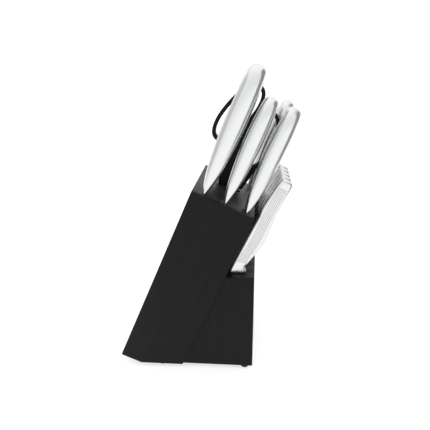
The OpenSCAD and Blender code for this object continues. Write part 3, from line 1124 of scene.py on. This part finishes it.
@dataclass
class SteakGrip(Grip):
    """Slim grip of a steak knife, with a finger notch and a flat butt."""

    width: float = 18.5
    roundness: float = 4.0
    field_low: float = 0.13
    field_high: float = 0.93

    def spine(self, s: float) -> float:
        """Place of the spine line across the width at a share of the length."""
        return through_keys(s, ((0, 0.0), (0.4, 0.9), (0.61, 2.2), (0.79, 4.0), (1, 7.2)))

    def belly(self, s: float) -> float:
        """Place of the belly line across the width at a share of the length."""
        w = self.width
        keys = ((0, w + 0.4), (0.09, w - 3.2), (0.38, w + 3.3), (0.68, w + 1.6), (1, w + 2.8))
        return through_keys(s, keys)

    def half(self, s: float) -> float:
        """Half of the thickness at a share of the length."""
        t = self.thick / 2
        swell = through_keys(s, ((0, t - 0.5), (0.12, t - 0.7), (0.5, t), (0.85, t - 0.3), (1, t - 1)))
        return swell * (max(1 - s**150, 0.02) * max(1 - (1 - s) ** 320, 0.5)) ** 0.3

    def narrowing(self, s: float) -> float:
        """Share of the width that is left where the end rounds off."""
        return max(0.3, 1 - s**60) ** 0.25

    def drop(self, s: float) -> float:
        """Slope of the lower end across the width at a share of the length."""
        return math.tan(PLACES.tilt) * (1 - s) ** 3


@dataclass
class Blade:
    """A ground blade: full thickness at the spine, hollow-free bevels and a fine cutting edge."""

    length: float
    width: float
    thick: float
    neck: float
    drop: float = 0.0
    heel: float = 12.0
    tip: float = 0.28
    bevel_from: float = 0.3
    edge_from: float = 0.94
    edge_half: float = 0.32
    teeth: int = 0
    tooth_depth: float = 0.55
    stations: int = 60
    tang_t: float = 1.6
    tang_w: float = 12.0
    tang_l: float = 34.0
    tang_y: float = 9.0
    tang_root: float = 4.0
    teeth_from: float = 0.04
    teeth_to: float = 0.9
    point: float = 0.996
    taper: float = 0.55
    spine_round: float = 0.12
    edge_flat: float = 0.03

    def station(self, t: float) -> tuple[Key, Key]:
        """Spine and edge points at a share of the length.

        Args:
            t: Share of the length, from the heel to the tip.

        Returns:
            The spine point and the edge point, as place across and height.
        """
        spine = (self.width * self.tip * t**3, -self.length * t)
        edge = (self.width * (1 - (1 - self.tip) * t**2.6), -self.heel - (self.length - self.heel) * t)
        if self.teeth and self.teeth_from < t < self.teeth_to:
            fade = min(1.0, (self.teeth_to - t) * 8)
            bite = self.tooth_depth * abs(math.sin(math.pi * self.teeth * t)) * fade
            edge = (edge[0] - bite, edge[1])
        return spine, edge

    def mesh(self, name: str, place: Matrix) -> bpy.types.Mesh:
        """Lofts the blade and its tang.

        Args:
            name: Name of the mesh.
            place: The knife's frame.

        Returns:
            The blade's mesh.
        """
        count = self.teeth * 8 if self.teeth else self.stations
        rest = PLACES.rest_gap
        lines = [((0.0, rest), (self.neck, rest + self.drop * self.neck), 0.0)]
        lines += [(*self.station(i / count * self.point), i / count) for i in range(count + 1)]
        points = []
        for spine, edge, t in lines:
            half = self.thick / 2 * (1 - self.taper * t)
            behind = min(self.edge_half, half * 0.8)
            profile = ((0.0, half - self.spine_round), (0.02, half), (self.bevel_from, half),
                       (self.edge_from, behind), (1.0, self.edge_flat))
            out, down = edge[0] - spine[0], edge[1] - spine[1]
            right = [(x, spine[0] + f * out, spine[1] + f * down) for f, x in profile]
            points += right + [(-x, y, z) for x, y, z in reversed(right)]
        loop = 2 * len(profile)
        last = (len(lines) - 1) * loop
        faces = ring_faces(len(lines), loop, False)
        faces += [tuple(range(loop - 1, -1, -1)), tuple(range(last, last + loop))]
        start = len(points)
        h, w = self.tang_t / 2, self.tang_w / 2
        corners = ((-h, -w), (h, -w), (h, w), (-h, w))
        points += [(x, self.tang_y + y, z) for z in (-self.tang_root, self.tang_l) for x, y in corners]
        faces += [tuple(start + j for j in face) for face in
                  ((3, 2, 1, 0), (4, 5, 6, 7), (0, 1, 5, 4), (1, 2, 6, 5), (2, 3, 7, 6), (3, 0, 4, 7))]
        mesh = mesh_from(name, np.array(points), faces, place)
        recalculate(mesh)
        mesh.set_sharp_from_angle(angle=math.radians(12))
        return mesh


@dataclass
class Knife:
    """One knife: a blade and two dimpled half shells, all riding on one body."""

    name: str
    body: str
    place: Matrix
    blade: Blade
    grip: Grip
    finishes: Finishes
    dimpling: Dimpling

    def build(self) -> None:
        """Makes, dresses and hands over the knife's pieces."""
        ground = self.blade.mesh(self.name, self.place)
        steel = link_piece(self.name + "_ground_blade", ground, self.finishes.blade)
        hand_over(steel, self.body, "blade_steel", self.name + "_blade")
        for side in Side:
            node = f"{self.name}_grip_{side.name.lower()}"
            mesh = self.grip.half_shell(node, side, self.place, PLACES.rest_gap)
            shell = link_piece(node + "_shell", mesh, self.finishes.grip)
            self.dimpling.press(shell)
            hand_over(shell, self.body, "grip_steel", node)


@dataclass(frozen=True)
class LargeSize:
    """Sizes of one large knife, in millimetres, and its slot across the block's thickness."""

    name: str
    slot: int
    blade_l: float
    blade_w: float
    grip_l: float = 112.8
    grip_t: float = 19.0
    far: bool = False


@dataclass
class KnifeSet:
    """The four large knives and the steak knives."""

    finishes: Finishes
    sizes: tuple[LargeSize, ...] = (
        LargeSize("chef", 0, 198.0, 46.0, 133.8, 22.0),
        LargeSize("carving", 1, 185.0, 32.0),
        LargeSize("utility", 2, 150.0, 27.0),
        LargeSize("paring", 2, 95.0, 18.0, far=True),
    )
    blade_t: float = 2.4
    steak_count: int = 5
    steak_l: float = 108.0
    steak_w: float = 18.5
    steak_t: float = 1.6
    steak_teeth: int = 26
    steak_grip: Key = (118.3, 12.5)
    steak_tang_shift: float = 1.6
    dimpling: Dimpling = field(init=False)

    def __post_init__(self) -> None:
        """Sets up the dimples that every grip shares."""
        self.dimpling = Dimpling(self.finishes.dimple)

    def large(self, size: LargeSize) -> Knife:
        """Sets up one large knife.

        Args:
            size: The knife's sizes.

        Returns:
            The knife.
        """
        shape = LargeGrip(size.grip_l, size.grip_t)
        low = shape.belly(0)
        neck = min(size.blade_w, low - 1)
        tang_y = (shape.spine(0) + low) / 2
        blade = Blade(size.blade_l, size.blade_w, self.blade_t, neck, tang_y=tang_y)
        y = PLACES.panel_t + PLACES.slot_end / 2
        place = PLACES.large_knife(size.slot, PLACES.width - size.blade_w - y if size.far else y)
        return Knife(size.name, size.name + "_knife", place, blade, shape, self.finishes, self.dimpling)

    def steak(self, number: int) -> Knife:
        """Sets up one steak knife.

        Args:
            number: Its number, counted from the near side.

        Returns:
            The knife.
        """
        shape = SteakGrip(*self.steak_grip)
        blade = Blade(self.steak_l, self.steak_w, self.steak_t, self.steak_w, math.tan(PLACES.tilt),
                      teeth=self.steak_teeth, tang_y=shape.belly(0) / 2 - self.steak_tang_shift)
        return Knife(f"steak_{number}", f"steak_knife_{number}", PLACES.steak_knife(number),
                     blade, shape, self.finishes, self.dimpling)

    def build(self) -> None:
        """Makes every knife."""
        for size in self.sizes:
            self.large(size).build()
        for number in range(1, self.steak_count + 1):
            self.steak(number).build()


# ---------------------------------------------------------------- shears


@dataclass
class Shears:
    """Kitchen shears: two ground blades, two moulded handles and a slotted pivot screw with its nut."""

    finishes: Finishes
    voxel_mm: float = 0.6
    soften: int = 9
    blade_edge_mm: float = 0.3
    screw_edge_mm: float = 0.2
    sharpest: float = 50.0
    head_r: float = 4.5
    slot_depth: float = 0.6
    slot_width: float = 1.0
    slot_turn: float = 0.6

    def moulded(self, node: str) -> bpy.types.Object:
        """Softens a handle's solid into a moulded shape with rounded edges.

        Args:
            node: Name of the handle's CAD node.

        Returns:
            The finished handle.
        """
        mesh = frame["nodes"][node].data.copy()
        recalculate(mesh, MERGE)
        piece = link_piece(node + "_moulded", mesh, self.finishes.plastic)
        remesh = piece.modifiers.new("even", "REMESH")
        remesh.mode = "VOXEL"
        remesh.voxel_size = self.voxel_mm * MM
        remesh.use_smooth_shade = True
        smooth = piece.modifiers.new("soft", "SMOOTH")
        smooth.factor = 0.5
        smooth.iterations = self.soften
        bake_modifiers(piece)
        return piece

    def ground(self, node: str) -> bpy.types.Object:
        """Eases the edges of one blade's solid.

        Args:
            node: Name of the blade's CAD node.

        Returns:
            The finished blade.
        """
        mesh = into_mesh(welded_solid(node), node + "_eased")
        mesh.shade_smooth()
        piece = link_piece(node + "_ground", mesh, self.finishes.blade)
        ease_edges(piece, self.blade_edge_mm, 2, self.sharpest)
        return piece

    def fastener(self, node: str, slotted: bool) -> bpy.types.Object:
        """Finishes the pivot screw or its nut from its CAD solid.

        Args:
            node: Name of the CAD node.
            slotted: True for a head, on the near side, with a driver's slot.

        Returns:
            The finished fastener.
        """
        mesh = frame["nodes"][node].data.copy()
        recalculate(mesh, MERGE)
        piece = link_piece(node + "_turned", mesh, self.finishes.zinc)
        if slotted:
            low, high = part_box(node)
            work = bmesh.new()
            bmesh.ops.create_cube(work, size=1)
            size = Vector((2.4 * self.head_r, self.slot_depth * 2, self.slot_width)) * MM
            place = Matrix.Translation(((low.x + high.x) / 2, low.y, (low.z + high.z) / 2))
            turned = place @ Matrix.Rotation(self.slot_turn, 4, "Y") @ Matrix.Diagonal((*size, 1))
            bmesh.ops.transform(work, verts=work.verts, matrix=turned)
            cutter = link_piece("driver_slot", into_mesh(work, "driver_slot"))
            slot = piece.modifiers.new("slot", "BOOLEAN")
            slot.operation = "DIFFERENCE"
            slot.object = cutter
            bake_modifiers(piece)
            bpy.data.objects.remove(cutter)
        piece.data.shade_smooth()
        ease_edges(piece, self.screw_edge_mm, 2, self.sharpest)
        return piece

    def build(self) -> None:
        """Makes, dresses and hands over the shears' pieces."""
        for half in ("a", "b"):
            body = "shears_half_" + half
            handle, blade = f"shears_handle_{half}", f"shears_blade_{half}"
            hand_over(self.moulded(handle), body, "black_plastic", handle)
            hand_over(self.ground(blade), body, "blade_steel", blade)
        screw, nut = "shears_pivot_screw", "shears_pivot_nut"
        hand_over(self.fastener(screw, True), "shears_half_a", "fastener_steel", screw)
        hand_over(self.fastener(nut, False), "shears_half_a", "fastener_steel", nut)


# ---------------------------------------------------------------- studio


@dataclass(frozen=True)
class Card:
    """An upright card across x that shows only in what glossy surfaces mirror, in metres."""

    name: str
    x: float
    near: float
    far: float
    foot: float
    glow: float
    top: float = 0.7
    shade: float = 0.05


@dataclass
class Studio:
    """Camera, pale floor, two cards and a white surround."""

    from_corner: tuple[float, float, float] = (0.15227, -0.42162, 0.32420)
    pitch_deg: float = 19.92
    yaw_deg: float = 4.02
    lens: float = 37.17
    shift: Key = (-0.02867, 0.02549)
    floor_size: float = 14.0
    floor_shade: float = 0.5
    floor_glow: float = 0.66
    cards: tuple[Card, ...] = (
        Card("right_card", 0.36, -0.34, 0.08, 0.002, 0.26),
        Card("left_card", -0.5, -0.5, 0.3, 0.25, 0.62),
    )
    horizon: float = 0.3
    level_glow: float = 1.02
    zenith_glow: float = 1.3
    paper_roughness: float = 0.9
    paper_specular: float = 0.1

    def camera(self) -> None:
        """Sets the camera up from the block's near back corner."""
        data = bpy.data.cameras.new("camera")
        data.lens = self.lens
        data.sensor_width = 36.0
        data.shift_x, data.shift_y = self.shift
        data.clip_start, data.clip_end = 0.01, 100.0
        camera = bpy.data.objects.new("camera", data)
        camera.location = PLACES.corner + Vector(self.from_corner)
        camera.rotation_euler = (math.radians(90 - self.pitch_deg), 0, math.radians(self.yaw_deg))
        bpy.context.scene.collection.objects.link(camera)
        bpy.context.scene.camera = camera

    def sheet(self, name: str, corners: list[Place3], shade: float, glow: float, seen: bool) -> None:
        """Stands or lays one plain sheet of paper.

        Args:
            name: Name of the sheet.
            corners: Its four corners, in order.
            shade: Share of the light that it sends back.
            glow: Light that it gives by itself.
            seen: Whether it is plainly there, or only in what glossy surfaces mirror.
        """
        mesh = bpy.data.meshes.new(name)
        mesh.from_pydata(corners, [], [(0, 1, 2, 3)])
        paper = bpy.data.materials.new(name)
        paper.use_nodes = True
        shader = next(n for n in paper.node_tree.nodes if n.type == "BSDF_PRINCIPLED")
        shader.inputs["Base Color"].default_value = (shade, shade, shade, 1)
        shader.inputs["Roughness"].default_value = self.paper_roughness
        shader.inputs["Specular IOR Level"].default_value = self.paper_specular
        shader.inputs["Emission Color"].default_value = (1, 1, 1, 1)
        shader.inputs["Emission Strength"].default_value = glow
        piece = link_piece(name, mesh, paper)
        piece.visible_camera = piece.visible_diffuse = piece.visible_shadow = seen

    def papers(self) -> None:
        """Lays a pale floor and stands a card on the right and on the left, to be mirrored in the steel."""
        half = self.floor_size / 2
        corners = [(-half, -half, 0), (half, -half, 0), (half, half, 0), (-half, half, 0)]
        self.sheet("floor", corners, self.floor_shade, self.floor_glow, True)
        for card in self.cards:
            corners = [(card.x, card.near, card.foot), (card.x, card.far, card.foot),
                       (card.x, card.far, card.top), (card.x, card.near, card.top)]
            self.sheet(card.name, corners if card.x < 0 else corners[::-1], card.shade, card.glow, False)

    def surround(self) -> None:
        """Surrounds the scene with white, a little brighter overhead."""
        world = bpy.data.worlds.new("surround")
        bpy.context.scene.world = world
        world.use_nodes = True
        tree = world.node_tree
        background = next(n for n in tree.nodes if n.type == "BACKGROUND")
        background.inputs["Color"].default_value = (1, 1, 1, 1)
        place = tree.nodes.new("ShaderNodeTexCoord")
        split = tree.nodes.new("ShaderNodeSeparateXYZ")
        tree.links.new(place.outputs["Generated"], split.inputs[0])
        rise = tree.nodes.new("ShaderNodeMapRange")
        rise.inputs["From Min"].default_value = self.horizon
        rise.inputs["To Min"].default_value = self.level_glow
        rise.inputs["To Max"].default_value = self.zenith_glow
        tree.links.new(split.outputs["Z"], rise.inputs["Value"])
        tree.links.new(rise.outputs[0], background.inputs["Strength"])

    def build(self) -> None:
        """Sets up everything around the object."""
        self.camera()
        self.papers()
        self.surround()
        bpy.context.scene.view_settings.view_transform = "Standard"


def main() -> None:
    """Builds the studio and the object."""
    logging.basicConfig(level=logging.INFO, format="%(name)s: %(message)s")
    Studio().build()
    finishes = Finishes()
    KnifeBlock(finishes).build()
    KnifeSet(finishes).build()
    Shears(finishes).build()


if __name__ == "__main__":
    main()
